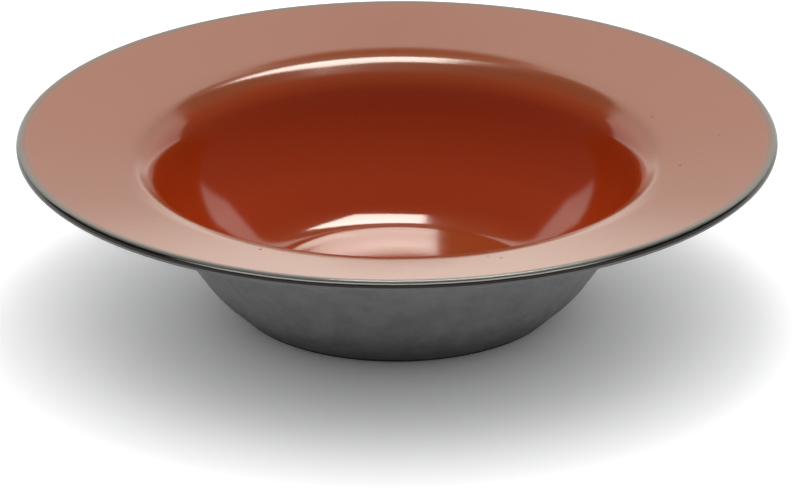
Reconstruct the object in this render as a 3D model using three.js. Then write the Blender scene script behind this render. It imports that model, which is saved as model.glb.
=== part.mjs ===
// Soup plate: a stoneware body with a wide sloping rim, a deep round well and a low foot ring,
// under thin coats of glaze. Millimetres and degrees, +Z up, standing on z = 0 with the axis on Z.
import * as THREE from 'three';

// Overall sizes, over the glaze
const PLATE_DIAMETER = 270;
const PLATE_HEIGHT = 63.6;

// Rim and lip
const RIM_SLOPE = 10.7; // the rim's face climbs outwards
const RIM_TAPER = 2.2; // the underside climbs this much more, so the rim thins towards the lip
const LIP_THICKNESS = 3;
const LIP_ROUND = 1.2;

// Well: the sizes are where the faces would meet without their curves
const MOUTH_DIAMETER = 175;
const SHOULDER_WIDTH = 10.5; // between the rim and the mouth, at a slope between theirs
const SHOULDER_SLOPE = 18.2;
const SHOULDER_LEAD = 54.6; // the slow curve off the rim
const SHOULDER_RADIUS = 15.6;
const WAIST_INSET = 9.5; // in from the mouth to where the steep upper wall meets the lower one
const WAIST_DROP = 24; // and down from it
const WAIST_CURVE = 55;
const FLOOR_INSET = 24.4; // in from the waist to the edge of the floor
const FLOOR_CURVE = 21.7;
const FLOOR_THICKNESS = 4.6; // in the middle
const DISH_DIAMETER = 77; // the flat middle of the floor
const DISH_SLOPE = 5.4; // the floor climbs outwards from there
const DISH_CURVE = 100;

// Outer wall
const WALL_THICKNESS = 7.3; // at the mouth
const UNDER_RIM_RADIUS = 11;

// Heel, where the wall turns in to the foot, and the bare foot ring
const HEEL_HEIGHT = 10.6;
const HEEL_OUTSET = 13.6; // out from the edge of the floor
const HEEL_RADIUS = 37;
const FOOT_OUTSET = 4; // out from the edge of the floor to the foot's glaze line
const FOOT_HEIGHT = 1.6; // table to the glaze line
const FOOT_BEVEL = 1;
const FOOT_WIDTH = 5;
const FOOT_ROUND = 0.5;
const RECESS_DEPTH = 1.8;

// Glaze coats
const GLAZE_THICKNESS = 0.4;
const GLAZE_BED = 0.02; // left free between the clay and a coat
const LIP_BAND_TOP = 3; // how far the lip's own coat reaches over the rim
const LIP_BAND_UNDER = 2; // and under it

// Facets
const TURNS = 64; // flat steps round the axis
const CHORD_DEPTH = 0.13; // how far a flat step may lie inside its arc

const radians = THREE.MathUtils.degToRad;
const at = (r, z) => new THREE.Vector2(r, z);
const heading = (angle) => at(Math.cos(angle), Math.sin(angle));
const leftOf = (direction) => at(-direction.y, direction.x);
const along = (from, direction, distance) => from.clone().addScaledVector(direction, distance);

// Where two lines cross, each given by a point and a direction.
function crossing(pointA, directionA, pointB, directionB) {
  const gap = pointB.clone().sub(pointA);
  return along(pointA, directionA, gap.cross(directionB) / directionA.cross(directionB));
}

// The corners of the clay's half section, from the middle of the well's floor out over the rim, round the
// lip and back under to the middle of the base. A radius rounds a corner. A mark names where a coat ends.
function clayCorners() {
  const lipRadius = PLATE_DIAMETER / 2 - GLAZE_THICKNESS;
  const slope = radians(RIM_SLOPE);
  const roundingLoss = LIP_ROUND * (Math.tan(slope) + 1 / Math.cos(slope) - 1);
  const lipTop = at(lipRadius, PLATE_HEIGHT - GLAZE_THICKNESS + roundingLoss);
  const lipUnder = along(lipTop, at(0, -1), LIP_THICKNESS);
  const rimFace = heading(slope);
  const rimUnderside = heading(slope + radians(RIM_TAPER));

  const shoulderFace = heading(radians(SHOULDER_SLOPE));
  const mouthRadius = MOUTH_DIAMETER / 2;
  const waistRadius = mouthRadius - WAIST_INSET;
  const floorRadius = waistRadius - FLOOR_INSET;
  const shoulder = along(lipTop, rimFace, (mouthRadius + SHOULDER_WIDTH - lipRadius) / rimFace.x);
  const mouth = along(shoulder, shoulderFace, -SHOULDER_WIDTH / shoulderFace.x);
  const waist = at(waistRadius, mouth.y - WAIST_DROP);
  const floorHeight = RECESS_DEPTH + FLOOR_THICKNESS;
  const dish = at(DISH_DIAMETER / 2, floorHeight);
  const dishFace = heading(radians(DISH_SLOPE));
  const floorEdge = along(dish, dishFace, (floorRadius - dish.x) / dishFace.x);

  const wall = mouth.clone().sub(waist).normalize();
  const outside = along(mouth, leftOf(wall), -WALL_THICKNESS);
  const heel = at(floorRadius + HEEL_OUTSET, HEEL_HEIGHT);
  const underRim = crossing(lipUnder, rimUnderside, heel, outside.clone().sub(heel));

  const footEdge = floorRadius + FOOT_OUTSET;
  const landOutside = footEdge - FOOT_BEVEL;
  const landInside = landOutside - FOOT_WIDTH;
  return [
    { point: at(0, floorHeight), mark: 'floor_centre' },
    { point: dish, radius: DISH_CURVE },
    { point: floorEdge, radius: FLOOR_CURVE },
    { point: waist, radius: WAIST_CURVE },
    { point: mouth, radius: SHOULDER_RADIUS },
    { point: shoulder, radius: SHOULDER_LEAD },
    { point: along(lipTop, rimFace, -LIP_BAND_TOP), mark: 'rim_seam' },
    { point: lipTop, radius: LIP_ROUND },
    { point: lipUnder, radius: LIP_ROUND },
    { point: along(lipUnder, rimUnderside, -LIP_BAND_UNDER), mark: 'under_seam' },
    { point: underRim, radius: UNDER_RIM_RADIUS },
    { point: heel, radius: HEEL_RADIUS },
    { point: at(footEdge, FOOT_HEIGHT), mark: 'glaze_line' },
    { point: at(landOutside, 0), radius: FOOT_ROUND },
    { point: at(landInside, 0), radius: FOOT_ROUND },
    { point: at(landInside - FOOT_BEVEL, RECESS_DEPTH), mark: 'recess_edge' },
    { point: at(0, RECESS_DEPTH), mark: 'base_centre' },
  ];
}

// The directions of the two sides of a corner, and the angle that the outline turns by there.
function sidesOf(corners, index) {
  const entering = corners[index].point.clone().sub(corners[index - 1].point).normalize();
  const leaving = corners[index + 1].point.clone().sub(corners[index].point).normalize();
  const turn = Math.atan2(entering.cross(leaving), entering.dot(leaving));
  return { entering, leaving, turn };
}

// How far along its two sides a corner's arc reaches, given room.
function reachOf(corners, index) {
  const { radius } = corners[index];
  return radius ? radius * Math.tan(Math.abs(sidesOf(corners, index).turn) / 2) : 0;
}

// The arc that rounds a corner, as points with the normals that point out of the clay. Where two arcs
// would meet on a side that is too short for both, each shrinks by the same share.
function cornerArc(corners, index) {
  const { point, radius: wanted } = corners[index];
  const { entering, turn } = sidesOf(corners, index);
  const reach = reachOf(corners, index);
  const room = (other) => point.distanceTo(corners[other].point) / (reach + reachOf(corners, other));
  const share = Math.min(1, room(index - 1), room(index + 1));
  const radius = wanted * share;
  const start = along(point, entering, -reach * share);
  const side = Math.sign(turn);
  const centre = along(start, leftOf(entering), side * radius);
  const widestStep = 2 * Math.acos(Math.max(0, 1 - CHORD_DEPTH / radius));
  const steps = Math.ceil(Math.abs(turn) / widestStep);
  return Array.from({ length: steps + 1 }, (_, step) => {
    const normal = leftOf(entering).rotateAround(at(0, 0), (turn * step) / steps);
    return { point: along(centre, normal, -side * radius), normal };
  });
}

// The outline of the clay's half section. A corner with no arc gives a point for each of its two sides.
function roundedOutline(corners) {
  return corners.flatMap((corner, index) => {
    if (corner.radius) return cornerArc(corners, index);
    const before = corners[index - 1];
    const after = corners[index + 1];
    const sides = [before && [before, corner], after && [corner, after]].filter(Boolean);
    return sides.map(([from, to]) => ({
      point: corner.point.clone(),
      normal: leftOf(to.point.clone().sub(from.point).normalize()),
      mark: corner.mark,
    }));
  });
}

const clayOutline = roundedOutline(clayCorners());

// The closed section of a coat of glaze that lies on the clay from one mark to another.
function coatSection(fromMark, toMark) {
  const first = clayOutline.findLastIndex((sample) => sample.mark === fromMark);
  const last = clayOutline.findIndex((sample) => sample.mark === toMark);
  const covered = clayOutline.slice(first, last + 1);
  const face = covered.map(({ point, normal }) => along(point, normal, GLAZE_THICKNESS));
  const underneath = covered.map(({ point, normal }) => along(point, normal, GLAZE_BED)).reverse();
  return [...face, ...underneath, face[0].clone()];
}

// A solid turned about +Z from its half section, in a finish.
function turned(name, section, finish) {
  const points = section.filter((point, index) => index === 0 || !point.equals(section[index - 1]));
  const geometry = new THREE.LatheGeometry(points.reverse(), TURNS).rotateX(Math.PI / 2);
  const mesh = new THREE.Mesh(geometry, new THREE.MeshStandardMaterial(finish));
  mesh.name = name;
  return mesh;
}

const stoneware = { color: '#8a7460', roughness: 0.9, metalness: 0 };
const rustGlaze = { color: '#8f3b1c', roughness: 0.15, metalness: 0 };
const ironGlaze = { color: '#2c221c', roughness: 0.25, metalness: 0 };
const slateGlaze = { color: '#4f5250', roughness: 0.4, metalness: 0 };

const soupPlate = new THREE.Group();
soupPlate.add(
  turned('stoneware_body', clayOutline.map(({ point }) => point), stoneware),
  turned('inside_glaze', coatSection('floor_centre', 'rim_seam'), rustGlaze),
  turned('lip_glaze', coatSection('rim_seam', 'under_seam'), ironGlaze),
  turned('outside_glaze', coatSection('under_seam', 'glaze_line'), slateGlaze),
  turned('base_glaze', coatSection('recess_edge', 'base_centre'), slateGlaze),
);

export default soupPlate;
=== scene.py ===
"""Looks of the soup plate: a turned stoneware body under coats of rust, iron and slate glaze,
on a white table."""
import math

import bpy
from mathutils import Matrix, Vector


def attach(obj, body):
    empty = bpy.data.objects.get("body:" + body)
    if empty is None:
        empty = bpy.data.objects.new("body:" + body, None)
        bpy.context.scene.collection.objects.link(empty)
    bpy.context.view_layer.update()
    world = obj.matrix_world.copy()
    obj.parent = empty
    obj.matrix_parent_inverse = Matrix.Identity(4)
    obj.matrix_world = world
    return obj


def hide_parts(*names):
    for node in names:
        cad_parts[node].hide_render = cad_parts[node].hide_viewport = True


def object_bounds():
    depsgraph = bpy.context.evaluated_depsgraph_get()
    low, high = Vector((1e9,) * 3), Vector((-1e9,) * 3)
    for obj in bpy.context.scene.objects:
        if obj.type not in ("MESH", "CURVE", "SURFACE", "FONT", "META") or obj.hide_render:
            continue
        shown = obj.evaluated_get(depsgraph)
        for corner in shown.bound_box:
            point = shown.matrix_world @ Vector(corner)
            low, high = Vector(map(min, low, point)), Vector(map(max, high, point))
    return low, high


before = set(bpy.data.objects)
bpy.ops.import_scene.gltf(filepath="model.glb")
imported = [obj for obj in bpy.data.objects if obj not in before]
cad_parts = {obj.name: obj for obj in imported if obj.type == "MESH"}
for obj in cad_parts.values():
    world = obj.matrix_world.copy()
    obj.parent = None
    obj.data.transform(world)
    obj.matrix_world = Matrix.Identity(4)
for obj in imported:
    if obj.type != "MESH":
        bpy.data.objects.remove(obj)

cad_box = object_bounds()

MM = 0.001

# Overall sizes, over the glaze. The radius comes from the frame
PLATE_RADIUS = cad_box[1][0]
PLATE_HEIGHT = 63.6 * MM

# Rim and lip. The underside climbs more than the face by the taper
RIM_SLOPE = 10.7
RIM_TAPER = 2.2
LIP_THICKNESS = 3 * MM
LIP_ROUND = 1.2 * MM

# Well: the sizes are where the faces would meet without their curves. The mouth lies in from the
# rim by the shoulder's width, and down by its slope
MOUTH_RADIUS = 87.5 * MM
SHOULDER_WIDTH = 10.5 * MM
SHOULDER_SLOPE = 18.2
WAIST_INSET = 9.5 * MM
WAIST_DROP = 24 * MM
WAIST_CURVE = 55 * MM
FLOOR_INSET = 24.4 * MM
FLOOR_CURVE = 21.7 * MM
FLOOR_THICKNESS = 4.6 * MM
DISH_RADIUS = 38.5 * MM
DISH_SLOPE = 5.4
DISH_CURVE = 100 * MM

# Shoulder: it eases off the rim, bends down and then meets the wall at the mouth. Each slope is
# that of the face further in
EASE_RADIUS, EASE_SLOPE, EASE_CURVE = 100 * MM, 14, 85 * MM
BEND_RADIUS, BEND_SLOPE, BEND_CURVE = 93.9 * MM, 34, 11.4 * MM
MOUTH_CURVE = 12 * MM

# Outer wall, heel and foot ring
WALL_THICKNESS = 7.3 * MM
UNDER_RIM_RADIUS = 11 * MM
HEEL_HEIGHT = 10.6 * MM
HEEL_OUTSET = 13.6 * MM
HEEL_RADIUS = 37 * MM
FOOT_OUTSET = 4 * MM
FOOT_HEIGHT = 1.6 * MM
FOOT_BEVEL = 1 * MM
FOOT_WIDTH = 5 * MM
FOOT_ROUND = 0.5 * MM
RECESS_DEPTH = 1.8 * MM

# Glaze coats
GLAZE = 0.4 * MM
GLAZE_BED = 0.02 * MM
LIP_BAND_TOP = 3 * MM
LIP_BAND_UNDER = 2 * MM

# How finely the section and the turn are stepped, the angle that stays a sharp edge, and what
# counts as one point or as on the axis
ARC_STEP = 0.45 * MM
ARC_STEPS_LEAST = 2
LINE_STEP = 1.6 * MM
SIDES = 288
SHARP_EDGE = 40
SAME_POINT = 1e-7
ON_AXIS = 1e-9


# The section of the clay

def heading(degrees):
    """The direction that climbs outwards at a slope."""
    return Vector((math.cos(math.radians(degrees)), math.sin(math.radians(degrees))))


def left_of(direction):
    return Vector((-direction.y, direction.x))


def cross(a, b):
    return a.x * b.y - a.y * b.x


def crossing(point_a, direction_a, point_b, direction_b):
    """Where two lines cross."""
    distance = cross(point_b - point_a, direction_b) / cross(direction_a, direction_b)
    return point_a + direction_a * distance


def clay_corners():
    """Corners of the half section, from the middle of the floor over the rim and round to the
    middle of the base: each a point, the radius that rounds it or 0, and a name where a coat of
    glaze ends."""
    lip_radius = PLATE_RADIUS - GLAZE
    slope = math.radians(RIM_SLOPE)
    rounding_loss = LIP_ROUND * (math.tan(slope) + 1 / math.cos(slope) - 1)
    lip_top = Vector((lip_radius, PLATE_HEIGHT - GLAZE + rounding_loss))
    lip_under = lip_top - Vector((0, LIP_THICKNESS))
    rim_face = heading(RIM_SLOPE)
    rim_underside = heading(RIM_SLOPE + RIM_TAPER)

    shoulder_face = heading(SHOULDER_SLOPE)
    shoulder_radius = MOUTH_RADIUS + SHOULDER_WIDTH
    shoulder = lip_top + rim_face * ((shoulder_radius - lip_radius) / rim_face.x)
    mouth = shoulder - shoulder_face * (SHOULDER_WIDTH / shoulder_face.x)
    waist = mouth - Vector((WAIST_INSET, WAIST_DROP))
    floor_radius = waist.x - FLOOR_INSET
    floor_height = RECESS_DEPTH + FLOOR_THICKNESS
    dish = Vector((DISH_RADIUS, floor_height))
    dish_face = heading(DISH_SLOPE)
    floor_edge = dish + dish_face * ((floor_radius - DISH_RADIUS) / dish_face.x)

    wall = (mouth - waist).normalized()
    upright = heading(90)
    ease = lip_top + rim_face * ((EASE_RADIUS - lip_radius) / rim_face.x)
    bend = crossing(ease, heading(EASE_SLOPE), Vector((BEND_RADIUS, 0)), upright)
    throat = crossing(bend, heading(BEND_SLOPE), mouth, wall)
    outside = mouth - left_of(wall) * WALL_THICKNESS
    heel = Vector((floor_radius + HEEL_OUTSET, HEEL_HEIGHT))
    under_rim = crossing(lip_under, rim_underside, heel, outside - heel)

    foot_edge = floor_radius + FOOT_OUTSET
    land_outside = foot_edge - FOOT_BEVEL
    land_inside = land_outside - FOOT_WIDTH
    return [
        (Vector((0, floor_height)), 0, "floor_centre"),
        (dish, DISH_CURVE, ""),
        (floor_edge, FLOOR_CURVE, ""),
        (waist, WAIST_CURVE, ""),
        (throat, MOUTH_CURVE, ""),
        (bend, BEND_CURVE, ""),
        (ease, EASE_CURVE, ""),
        (lip_top - rim_face * LIP_BAND_TOP, 0, "rim_seam"),
        (lip_top, LIP_ROUND, ""),
        (lip_under, LIP_ROUND, ""),
        (lip_under - rim_underside * LIP_BAND_UNDER, 0, "under_seam"),
        (under_rim, UNDER_RIM_RADIUS, ""),
        (heel, HEEL_RADIUS, ""),
        (Vector((foot_edge, FOOT_HEIGHT)), 0, "glaze_line"),
        (Vector((land_outside, 0)), FOOT_ROUND, ""),
        (Vector((land_inside, 0)), FOOT_ROUND, ""),
        (Vector((land_inside - FOOT_BEVEL, RECESS_DEPTH)), 0, "recess_edge"),
        (Vector((0, RECESS_DEPTH)), 0, "base_centre"),
    ]


def rounded(before, corner, after, radius):
    """Points and outward normals along the arc that rounds a corner."""
    entering = (corner - before).normalized()
    leaving = (after - corner).normalized()
    turn = math.atan2(cross(entering, leaving), entering.dot(leaving))
    side = math.copysign(1, turn)
    start = corner - entering * (radius * math.tan(abs(turn) / 2))
    centre = start + left_of(entering) * (side * radius)
    steps = max(ARC_STEPS_LEAST, math.ceil(abs(turn) * radius / ARC_STEP))
    samples = []
    for step in range(steps + 1):
        normal = left_of(entering)
        normal.rotate(Matrix.Rotation(turn * step / steps, 2))
        samples.append((centre - normal * (side * radius), normal, ""))
    return samples


def clay_outline():
    """The clay's half section as close samples: a point, its outward normal and the name of a
    coat's end."""
    corners = clay_corners()
    outline = []
    for index, (point, radius, name) in enumerate(corners):
        before = corners[index - 1][0] if index else None
        after = corners[index + 1][0] if index + 1 < len(corners) else None
        if radius:
            found = rounded(before, point, after, radius)
        else:
            sides = [(a, b) for a, b in ((before, point), (point, after)) if a and b]
            found = [(point.copy(), left_of((b - a).normalized()), name) for a, b in sides]
        if outline:
            last, normal, _ = outline[-1]
            first = found[0][0]
            steps = math.ceil((first - last).length / LINE_STEP)
            for step in range(1, steps):
                outline.append((last.lerp(first, step / steps), normal.copy(), ""))
        outline += found
    return outline


OUTLINE = clay_outline()


def coat(first_name, last_name):
    """The closed section of a coat of glaze between two named ends: its face, then its
    underneath."""
    names = [name for _, _, name in OUTLINE]
    first = len(names) - 1 - names[::-1].index(first_name)
    covered = OUTLINE[first:names.index(last_name) + 1]
    face = [point + normal * GLAZE for point, normal, _ in covered]
    underneath = [point + normal * GLAZE_BED for point, normal, _ in covered]
    return face + underneath[::-1]


# Turned meshes

def turned(name, section):
    """A closed mesh turned about +Z from its half section, which runs round the solid or from
    axis to axis."""
    points = [point for index, point in enumerate(section)
              if index == 0 or (point - section[index - 1]).length > SAME_POINT]
    on_axis = points[0].x < ON_AXIS
    if not on_axis and (points[0] - points[-1]).length < SAME_POINT:
        points.pop()
    turns = [2 * math.pi * side / SIDES for side in range(SIDES)]
    places, rows = [], []
    for point in points:
        if point.x < ON_AXIS:
            rows.append([len(places)] * SIDES)
            places.append((0, 0, point.y))
        else:
            rows.append(list(range(len(places), len(places) + SIDES)))
            places += [(point.x * math.cos(a), point.x * math.sin(a), point.y) for a in turns]
    pairs = list(zip(rows, rows[1:])) + ([] if on_axis else [(rows[-1], rows[0])])
    faces = []
    for lower, upper in pairs:
        for side in range(SIDES):
            beside = (side + 1) % SIDES
            corners = [lower[side], upper[side], upper[beside], lower[beside]]
            faces.append([c for i, c in enumerate(corners) if c not in corners[:i]])
    mesh = bpy.data.meshes.new(name)
    mesh.from_pydata(places, [], faces)
    mesh.update()
    mesh.shade_smooth()
    mesh.set_sharp_from_angle(angle=math.radians(SHARP_EDGE))
    piece = bpy.data.objects.new(name, mesh)
    bpy.context.collection.objects.link(piece)
    return piece


# Shader nodes

class Wire:
    """A shader socket. A sum written with it adds a Math node, or a Vector Math node on a
    vector."""

    def __init__(self, finish, socket):
        self.finish = finish
        self.socket = socket

    def sum(self, operation, first, second):
        wires = [term for term in (first, second) if isinstance(term, Wire)]
        vector = any(wire.socket.type == "VECTOR" for wire in wires)
        kind = "ShaderNodeVectorMath" if vector else "ShaderNodeMath"
        return self.finish.node(kind, {"operation": operation}, {0: first, 1: second})

    def __add__(self, other):
        return self.sum("ADD", self, other)

    def __radd__(self, other):
        return self.sum("ADD", other, self)

    def __sub__(self, other):
        return self.sum("SUBTRACT", self, other)

    def __rsub__(self, other):
        return self.sum("SUBTRACT", other, self)

    def __mul__(self, other):
        return self.sum("MULTIPLY", self, other)

    def __rmul__(self, other):
        return self.sum("MULTIPLY", other, self)

    def __truediv__(self, other):
        return self.sum("DIVIDE", self, other)

    def __rtruediv__(self, other):
        return self.sum("DIVIDE", other, self)


class Finish:
    """The node tree of a material or of the world."""

    def __init__(self, owner):
        owner.use_nodes = True
        self.owner = owner
        self.tree = owner.node_tree
        self.tree.nodes.clear()

    def node(self, kind, settings=None, sockets=None, out=0):
        made = self.tree.nodes.new(kind)
        for setting, value in (settings or {}).items():
            setattr(made, setting, value)
        for socket, value in (sockets or {}).items():
            if isinstance(value, Wire):
                self.tree.links.new(value.socket, made.inputs[socket])
            else:
                made.inputs[socket].default_value = value
        return Wire(self, made.outputs[out]) if made.outputs else None

    def place(self):
        """Where on the object, in metres."""
        return self.node("ShaderNodeTexCoord", out="Object")

    def part(self, vector, axis):
        return self.node("ShaderNodeSeparateXYZ", None, {0: vector}, out=axis)

    def from_axis(self, place):
        """How far out from the axis."""
        level = place * (1, 1, 0)
        return self.node("ShaderNodeVectorMath", {"operation": "LENGTH"}, {0: level}, out="Value")

    def ease(self, value, start, end):
        """0 before start and 1 past end, with a smooth climb."""
        settings = {"interpolation_type": "SMOOTHSTEP", "clamp": True}
        sockets = {"Value": value, "From Min": start, "From Max": end}
        return self.node("ShaderNodeMapRange", settings, sockets)

    def blend(self, mask, first, second):
        """One colour where the mask is 0, another where it is 1."""
        colours = [c if isinstance(c, Wire) else (*c, 1) for c in (first, second)]
        settings = {"data_type": "RGBA", "clamp_factor": True}
        return self.node("ShaderNodeMix", settings, {0: mask, 6: colours[0], 7: colours[1]}, out=2)

    def clouds(self, place, lumps, detail=3, roughness=0.55):
        """Soft noise around 0.5, with lumps of about a size in metres."""
        sockets = {"Vector": place, "Scale": 1 / lumps, "Detail": detail, "Roughness": roughness}
        return self.node("ShaderNodeTexNoise", None, sockets, out="Fac")

    def sway(self, place, lumps, width, detail=3):
        """An uneven shift either way, across about a width."""
        return (self.clouds(place, lumps, detail) - 0.5) * width

    def patches(self, place, lumps, levels, *noise):
        """Clouds drawn out to 0 under one level and 1 over another."""
        return self.ease(self.clouds(place, lumps, *noise), *levels)

    def dullness(self, place, lumps, spread, least):
        """An uneven roughness."""
        return self.clouds(place, lumps) * spread + least

    def relief(self, place, lumps, depth, *noise):
        """The normal of a surface that clouds raise by up to a depth."""
        sockets = {"Height": self.clouds(place, lumps, *noise), "Distance": depth, "Strength": 1}
        return self.node("ShaderNodeBump", None, sockets)

    def surface(self, shader):
        self.node("ShaderNodeOutputMaterial", None, {"Surface": shader})
        return self.owner


def finish_named(name):
    return Finish(bpy.data.materials.new(name))


# Finishes. A noise is given by the size of its lumps and then: for a sway its width, for a grain, a
# drift or specks the two levels that it is drawn out between, for a dullness the spread and the
# least, and for a peel or grit the depth. Its detail and roughness come last, where they are set

# Rust: its colours by where it lies, and the distances from the axis between which it turns
RUST_WELL = (0.34, 0.027, 0.0015)
RUST_FLOOR = (0.29, 0.048, 0.010)
RUST_RIM = (0.242, 0.050, 0.0127)
RUST_PALE = (0.32, 0.08, 0.02)
RUST_FLOOR_TURN = (62 * MM, 45 * MM)
RUST_RIM_TURN = (82 * MM, 93 * MM)
RUST_SWAY = (38 * MM, 6 * MM, 4)
RUST_GRAIN = (0.8 * MM, (0.3, 0.7))
RUST_GRAIN_SHARE = 0.12
RUST_DULLNESS = (14 * MM, 0.04, 0.085)
RUST_PEEL = (5 * MM, 0.01 * MM, 2)

# The shoulder is a little duller than the rest: where that fades in, where it fades out, and by how
# much
SHOULDER_INNER = (87 * MM, 91 * MM)
SHOULDER_OUTER = (95 * MM, 99 * MM)
SHOULDER_DULLNESS = 0.06

# The glaze pools on the floor into a second, thicker coat
POOL_TURN = (52 * MM, 44 * MM)
POOL_WEIGHT = 0.4
POOL_ROUGHNESS = 0.09

# Iron specks in the rim's glaze: where each lies and its size, in millimetres, and the shares of
# its size between which it fades out
SPECKS = (
    (-47, -92.2, 0.6), (99.9, -16.3, 0.55), (114.6, 6.1, 0.4),
    (91.7, 32.4, 0.4), (30.9, -99.5, 0.45), (35.3, -103.5, 0.5),
)
SPECK_OUTSIDE, SPECK_INSIDE = 1.4, 0.6
SPECK_SWAY = (1 * MM, 0.5 * MM)
SPECK_SHARE = 0.9
SPECK_DULLNESS = 0.6

# The grey fringe: its width in from the lip and how softly it begins
FRINGE = (0.135, 0.145, 0.130)
FRINGE_WIDTH = 2.7 * MM
FRINGE_HAZE = 2.2 * MM
FRINGE_SWAY = (9 * MM, 1.2 * MM)

# Bands down the lip's edge, as drops under its top: the iron above the slate, and at the front a
# pale line that is a painted highlight, standing in for a reflection along the lip's edge
IRON = (0.010, 0.0058, 0.0036)
PAINTED_HIGHLIGHT = (0.5, 0.47, 0.44)
LIP_IRON = (0.45 * MM, 2.3 * MM)
LIP_PAINTED_HIGHLIGHT = (0.62 * MM, 1.0 * MM)
PAINTED_HIGHLIGHT_TURN = (-108 * MM, -124 * MM)
BAND_HAZE = 0.13 * MM
LIP_SWAY = (6 * MM, 0.25 * MM)
IRON_DULLNESS = (3 * MM, 0.06, 0.08)
IRON_PEEL = (2 * MM, 0.02 * MM, 2)

# Slate: mottled, with a fine pale grain, and darker from one height down to another, which is
# painted shade towards the foot
SLATE = (0.228, 0.233, 0.228)
SLATE_DARK = (0.126, 0.129, 0.126)
SLATE_PALE = (0.29, 0.295, 0.285)
SLATE_SHADE = (0.066, 0.067, 0.064)
SLATE_DRIFT = (9 * MM, (0.25, 0.75), 5, 0.6)
SLATE_LEAST = 0.3
SLATE_GRAIN = (0.9 * MM, (0.35, 0.68), 4, 0.7)
SLATE_GRAIN_SHARE = 0.3
SLATE_SHADE_TURN = (24 * MM, 4 * MM)
SLATE_SHADE_WIDTH = 5 * MM
SLATE_SHADE_SHARE = 0.75
SLATE_DULLNESS = (4 * MM, 0.25, 0.28)
SLATE_PEEL = (1.4 * MM, 0.04 * MM, 3)

# Bare clay
CLAY = (0.11, 0.078, 0.055)
CLAY_DARK = tuple(0.8 * c for c in CLAY)
CLAY_SPECK = (0.06, 0.035, 0.022)
CLAY_CLOUDS = (12 * MM, 4)
CLAY_SPECKS = (0.9 * MM, (0.66, 0.72), 2, 0.4)
CLAY_DULLNESS = (6 * MM, 0.15, 0.75)
CLAY_GRIT = (0.5 * MM, 0.06 * MM, 4, 0.7)

# How strongly each bends light, which sets its gloss
GLAZE_IOR = 1.52
IRON_IOR = 1.4
CLAY_IOR = 1.45


def fired(finish, colour, roughness, normal, ior, pooled=0):
    """The surface of a fired glaze or clay, with a second coat where the glaze has pooled."""
    sockets = {"Base Color": colour, "Roughness": roughness, "Normal": normal, "IOR": ior}
    sockets |= {"Coat Weight": pooled, "Coat Roughness": POOL_ROUGHNESS}
    return finish.surface(finish.node("ShaderNodeBsdfPrincipled", None, sockets))


def rust_colour(finish, place):
    """Iron red with a fine grain, deeper in the well and thinned to grey along the lip."""
    out = finish.from_axis(place)
    turn = out + finish.sway(place, *RUST_SWAY)
    well = finish.blend(finish.ease(turn, *RUST_FLOOR_TURN), RUST_WELL, RUST_FLOOR)
    colour = finish.blend(finish.ease(turn, *RUST_RIM_TURN), well, RUST_RIM)
    grain = finish.patches(place, *RUST_GRAIN)
    colour = finish.blend(grain * RUST_GRAIN_SHARE, colour, RUST_PALE)
    edge = PLATE_RADIUS - FRINGE_WIDTH
    reach = out + finish.sway(place, *FRINGE_SWAY)
    fringe = finish.ease(reach, edge - FRINGE_HAZE, edge + FRINGE_HAZE)
    return finish.blend(fringe, colour, FRINGE)


def rust_glaze():
    finish = finish_named("rust_glaze")
    place = finish.place()
    out = finish.from_axis(place)
    colour = rust_colour(finish, place)
    shoulder = finish.ease(out, *SHOULDER_INNER) - finish.ease(out, *SHOULDER_OUTER)
    roughness = finish.dullness(place, *RUST_DULLNESS) + shoulder * SHOULDER_DULLNESS
    sway = finish.sway(place, *SPECK_SWAY)
    for x, y, size in SPECKS:
        off = finish.from_axis(place - (x * MM, y * MM, 0)) + sway
        speck = finish.ease(off, SPECK_OUTSIDE * size * MM, SPECK_INSIDE * size * MM)
        colour = finish.blend(speck * SPECK_SHARE, colour, CLAY_SPECK)
        roughness = roughness + speck * SPECK_DULLNESS
    pooled = finish.ease(out, *POOL_TURN) * POOL_WEIGHT
    normal = finish.relief(place, *RUST_PEEL)
    return fired(finish, colour, roughness, normal, GLAZE_IOR, pooled)


def below(finish, drop, level):
    """1 lower than a level under the lip's top."""
    return finish.ease(drop, level - BAND_HAZE, level + BAND_HAZE)


def band(finish, drop, levels):
    """1 between two levels under the lip's top."""
    upper, lower = levels
    return below(finish, drop, upper) - below(finish, drop, lower)


def iron_glaze():
    finish = finish_named("iron_glaze")
    place = finish.place()
    drop = PLATE_HEIGHT - finish.part(place, "Z") + finish.sway(place, *LIP_SWAY)
    highlight_side = finish.ease(finish.part(place, "Y"), *PAINTED_HIGHLIGHT_TURN)
    colour = rust_colour(finish, place)
    colour = finish.blend(band(finish, drop, LIP_IRON), colour, IRON)
    # Painted highlight: a pale line along the lip, only at the front
    colour = finish.blend(band(finish, drop, LIP_PAINTED_HIGHLIGHT) * highlight_side, colour, PAINTED_HIGHLIGHT)
    colour = finish.blend(below(finish, drop, LIP_IRON[1]), colour, SLATE_DARK)
    roughness = finish.dullness(place, *IRON_DULLNESS)
    return fired(finish, colour, roughness, finish.relief(place, *IRON_PEEL), IRON_IOR)


def slate_glaze():
    finish = finish_named("slate_glaze")
    place = finish.place()
    drift = finish.patches(place, *SLATE_DRIFT)
    colour = finish.blend(drift * (1 - SLATE_LEAST) + SLATE_LEAST, SLATE_DARK, SLATE)
    grain = finish.patches(place, *SLATE_GRAIN)
    colour = finish.blend(grain * SLATE_GRAIN_SHARE, colour, SLATE_PALE)
    # Painted shade: the slate darkens towards the foot
    height = finish.part(place, "Z") + drift * SLATE_SHADE_WIDTH
    low = finish.ease(height, *SLATE_SHADE_TURN)
    colour = finish.blend(low * SLATE_SHADE_SHARE, colour, SLATE_SHADE)
    roughness = finish.dullness(place, *SLATE_DULLNESS)
    return fired(finish, colour, roughness, finish.relief(place, *SLATE_PEEL), GLAZE_IOR)


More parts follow.
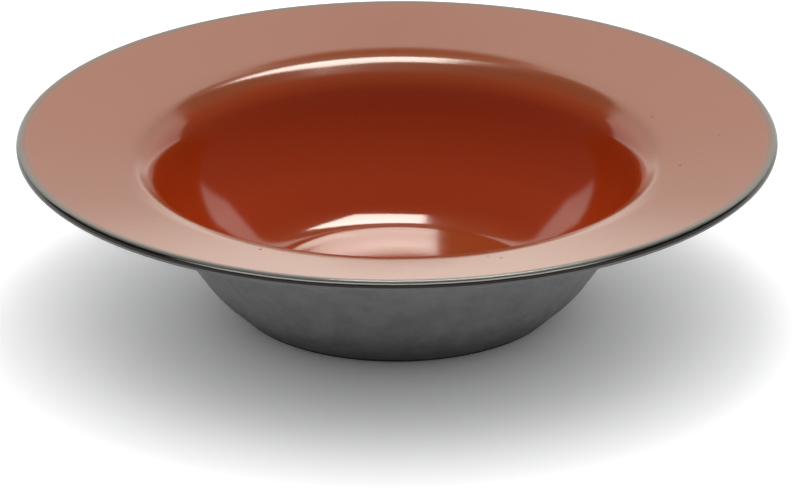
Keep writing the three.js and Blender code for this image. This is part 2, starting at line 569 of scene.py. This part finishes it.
def bare_stoneware():
    finish = finish_named("stoneware")
    place = finish.place()
    colour = finish.blend(finish.clouds(place, *CLAY_CLOUDS), CLAY_DARK, CLAY)
    colour = finish.blend(finish.patches(place, *CLAY_SPECKS), colour, CLAY_SPECK)
    roughness = finish.dullness(place, *CLAY_DULLNESS)
    return fired(finish, colour, roughness, finish.relief(place, *CLAY_GRIT), CLAY_IOR)


# Pieces

def lay(name, section, node, material):
    """Turns a piece, gives it its finish and lets it stand for its node."""
    piece = turned(name, section)
    piece.data.materials.append(material)
    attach(piece, "root")
    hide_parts(node)


slate = slate_glaze()
clay = [point for point, _, _ in OUTLINE]
lay("clay", clay, "stoneware_body", bare_stoneware())
lay("rust_coat", coat("floor_centre", "rim_seam"), "inside_glaze", rust_glaze())
lay("lip_coat", coat("rim_seam", "under_seam"), "lip_glaze", iron_glaze())
lay("slate_coat", coat("under_seam", "glaze_line"), "outside_glaze", slate)
lay("base_coat", coat("recess_edge", "base_centre"), "base_glaze", slate)


# Table. The camera sees it brighter than it lights the plate
TABLE = (0.89, 0.89, 0.9)
TABLE_SEEN = 1.4
TABLE_HALF = 4.0


def table():
    half = TABLE_HALF
    corners = [(-half, -half, 0), (half, -half, 0), (half, half, 0), (-half, half, 0)]
    mesh = bpy.data.meshes.new("table")
    mesh.from_pydata(corners, [], [(0, 1, 2, 3)])
    floor = bpy.data.objects.new("table", mesh)
    bpy.context.collection.objects.link(floor)
    finish = finish_named("white_table")
    seen = finish.node("ShaderNodeLightPath", out="Is Camera Ray")
    colour = finish.blend(seen, TABLE, tuple(TABLE_SEEN * c for c in TABLE))
    matt = finish.node("ShaderNodeBsdfDiffuse", None, {"Color": colour})
    mesh.materials.append(finish.surface(matt))


# The white wall behind the table, as the glaze mirrors it: the angles up to its top and out to its
# sides, how soft its edges are, and how bright it is at the foot, at the top and along the horizon
BACKDROP_TOP = 44.3
BACKDROP_SIDE = 56
BACKDROP_EDGE = 0.04
BACKDROP_SIDE_EDGE = 0.08
BACKDROP_LOW = 0.98
BACKDROP_HIGH = 2.15
HORIZON_GLOW = 0.85
HORIZON_START = -0.03
HORIZON_REACH = 13
DARK_ROOM = 0.11

# What the gloss mirrors is a little warm
WHITE = (1, 1, 1)
WARM = (1, 0.955, 0.86)

# The soft light all round, how much more of it comes from above, from the wall and from the right,
# and the least that comes from anywhere
FILL = 0.34
FILL_FROM_ABOVE = 1.06
FILL_FROM_WALL = 0.5
FILL_FROM_RIGHT = 0.05
FILL_LEAST = 0.06


def studio():
    """Soft light all round. In the gloss of the glaze it shows as a white wall behind the table in
    a dark room, and the camera sees plain white."""
    world = bpy.data.worlds.new("studio")
    bpy.context.scene.world = world
    finish = Finish(world)
    towards = finish.node("ShaderNodeTexCoord", out="Generated")
    across, back, up = (finish.part(towards, axis) for axis in "XYZ")
    aside = finish.node("ShaderNodeMath", {"operation": "ABSOLUTE"}, {0: across})
    under_top = back * math.tan(math.radians(BACKDROP_TOP)) - up
    within_sides = back * math.tan(math.radians(BACKDROP_SIDE)) - aside
    wall = finish.ease(under_top, -BACKDROP_EDGE, BACKDROP_EDGE)
    wall = wall * finish.ease(within_sides, -BACKDROP_SIDE_EDGE, BACKDROP_SIDE_EDGE)
    climb = up / math.sin(math.radians(BACKDROP_TOP))
    horizon = 1 - finish.ease(up, HORIZON_START, math.sin(math.radians(HORIZON_REACH)))
    bright = climb * climb * (BACKDROP_HIGH - BACKDROP_LOW)
    bright = bright + horizon * HORIZON_GLOW + BACKDROP_LOW
    mirrored = wall * (bright - DARK_ROOM) + DARK_ROOM
    fill = up * FILL_FROM_ABOVE + back * FILL_FROM_WALL + across * FILL_FROM_RIGHT + FILL
    fill = finish.node("ShaderNodeMath", {"operation": "MAXIMUM"}, {0: fill, 1: FILL_LEAST})
    seen = finish.node("ShaderNodeLightPath", out="Is Camera Ray")
    glossy = finish.node("ShaderNodeLightPath", out="Is Glossy Ray")
    strength = seen + (1 - seen) * (glossy * (mirrored - fill) + fill)
    tint = finish.blend(glossy * (1 - seen), WHITE, WARM)
    glow = finish.node("ShaderNodeBackground", None, {"Color": tint, "Strength": strength})
    finish.node("ShaderNodeOutputWorld", None, {"Surface": glow})


# The softbox above the back of the plate, and its radiance in the gloss and as light
SOFTBOX_AZIMUTH = 11.1
SOFTBOX_ELEVATION = 65.6
SOFTBOX_DISTANCE = 1.02
SOFTBOX_SIZE = (0.354, 0.417)
SOFTBOX_MIRRORED = 17
SOFTBOX_LIGHT = 3.5


def softbox(name, radiance, mirrored):
    """A soft rectangular light of an even radiance, which only the gloss shows or which only
    lights."""
    width, height = SOFTBOX_SIZE
    azimuth, elevation = math.radians(SOFTBOX_AZIMUTH), math.radians(SOFTBOX_ELEVATION)
    level = Vector((math.sin(azimuth), math.cos(azimuth), 0)) * math.cos(elevation)
    towards = level + Vector((0, 0, math.sin(elevation)))
    lamp = bpy.data.lights.new(name, "AREA")
    lamp.shape = "RECTANGLE"
    lamp.size = width
    lamp.size_y = height
    lamp.color = WARM if mirrored else WHITE
    lamp.energy = radiance * math.pi * width * height
    holder = bpy.data.objects.new(name, lamp)
    bpy.context.collection.objects.link(holder)
    holder.location = towards * SOFTBOX_DISTANCE
    holder.rotation_euler = towards.to_track_quat("Z", "Y").to_euler()
    holder.visible_glossy = mirrored
    holder.visible_diffuse = not mirrored


# Camera: where it stands from the lip's middle, and where that point falls in the image
IMAGE = (800, 500)
VIEW_ELEVATION = 21.785
VIEW_DISTANCE = 2.4
VIEW_AT = Vector((0, 0, 61.95 * MM))
VIEW_ROLL = 0.27
VIEW_PIXEL = (396.91, 137.9)
VIEW_REACH = 100
FOCAL_PIXELS = 6763.3
SENSOR = 36


def camera():
    lens = bpy.data.cameras.new("camera")
    lens.sensor_width = SENSOR
    lens.lens = FOCAL_PIXELS * SENSOR / IMAGE[0]
    lens.clip_end = VIEW_REACH
    holder = bpy.data.objects.new("camera", lens)
    bpy.context.collection.objects.link(holder)
    elevation = math.radians(VIEW_ELEVATION)
    back = Vector((0, -math.cos(elevation), math.sin(elevation)))
    stand = VIEW_AT + VIEW_DISTANCE * back
    yaw = math.atan((VIEW_PIXEL[0] - IMAGE[0] / 2) / FOCAL_PIXELS)
    pitch = math.atan((VIEW_PIXEL[1] - IMAGE[1] / 2) / FOCAL_PIXELS)
    roll = Matrix.Rotation(math.radians(-VIEW_ROLL), 4, "Z")
    aim = Matrix.Rotation(math.pi / 2 - elevation, 4, "X") @ roll
    offset = Matrix.Rotation(yaw, 4, "Y") @ Matrix.Rotation(pitch, 4, "X")
    holder.matrix_world = Matrix.Translation(stand) @ aim @ offset
    bpy.context.scene.camera = holder


table()
studio()
softbox("softbox_in_gloss", SOFTBOX_MIRRORED, True)
softbox("softbox", SOFTBOX_LIGHT, False)
camera()
bpy.context.scene.view_settings.view_transform = "Standard"
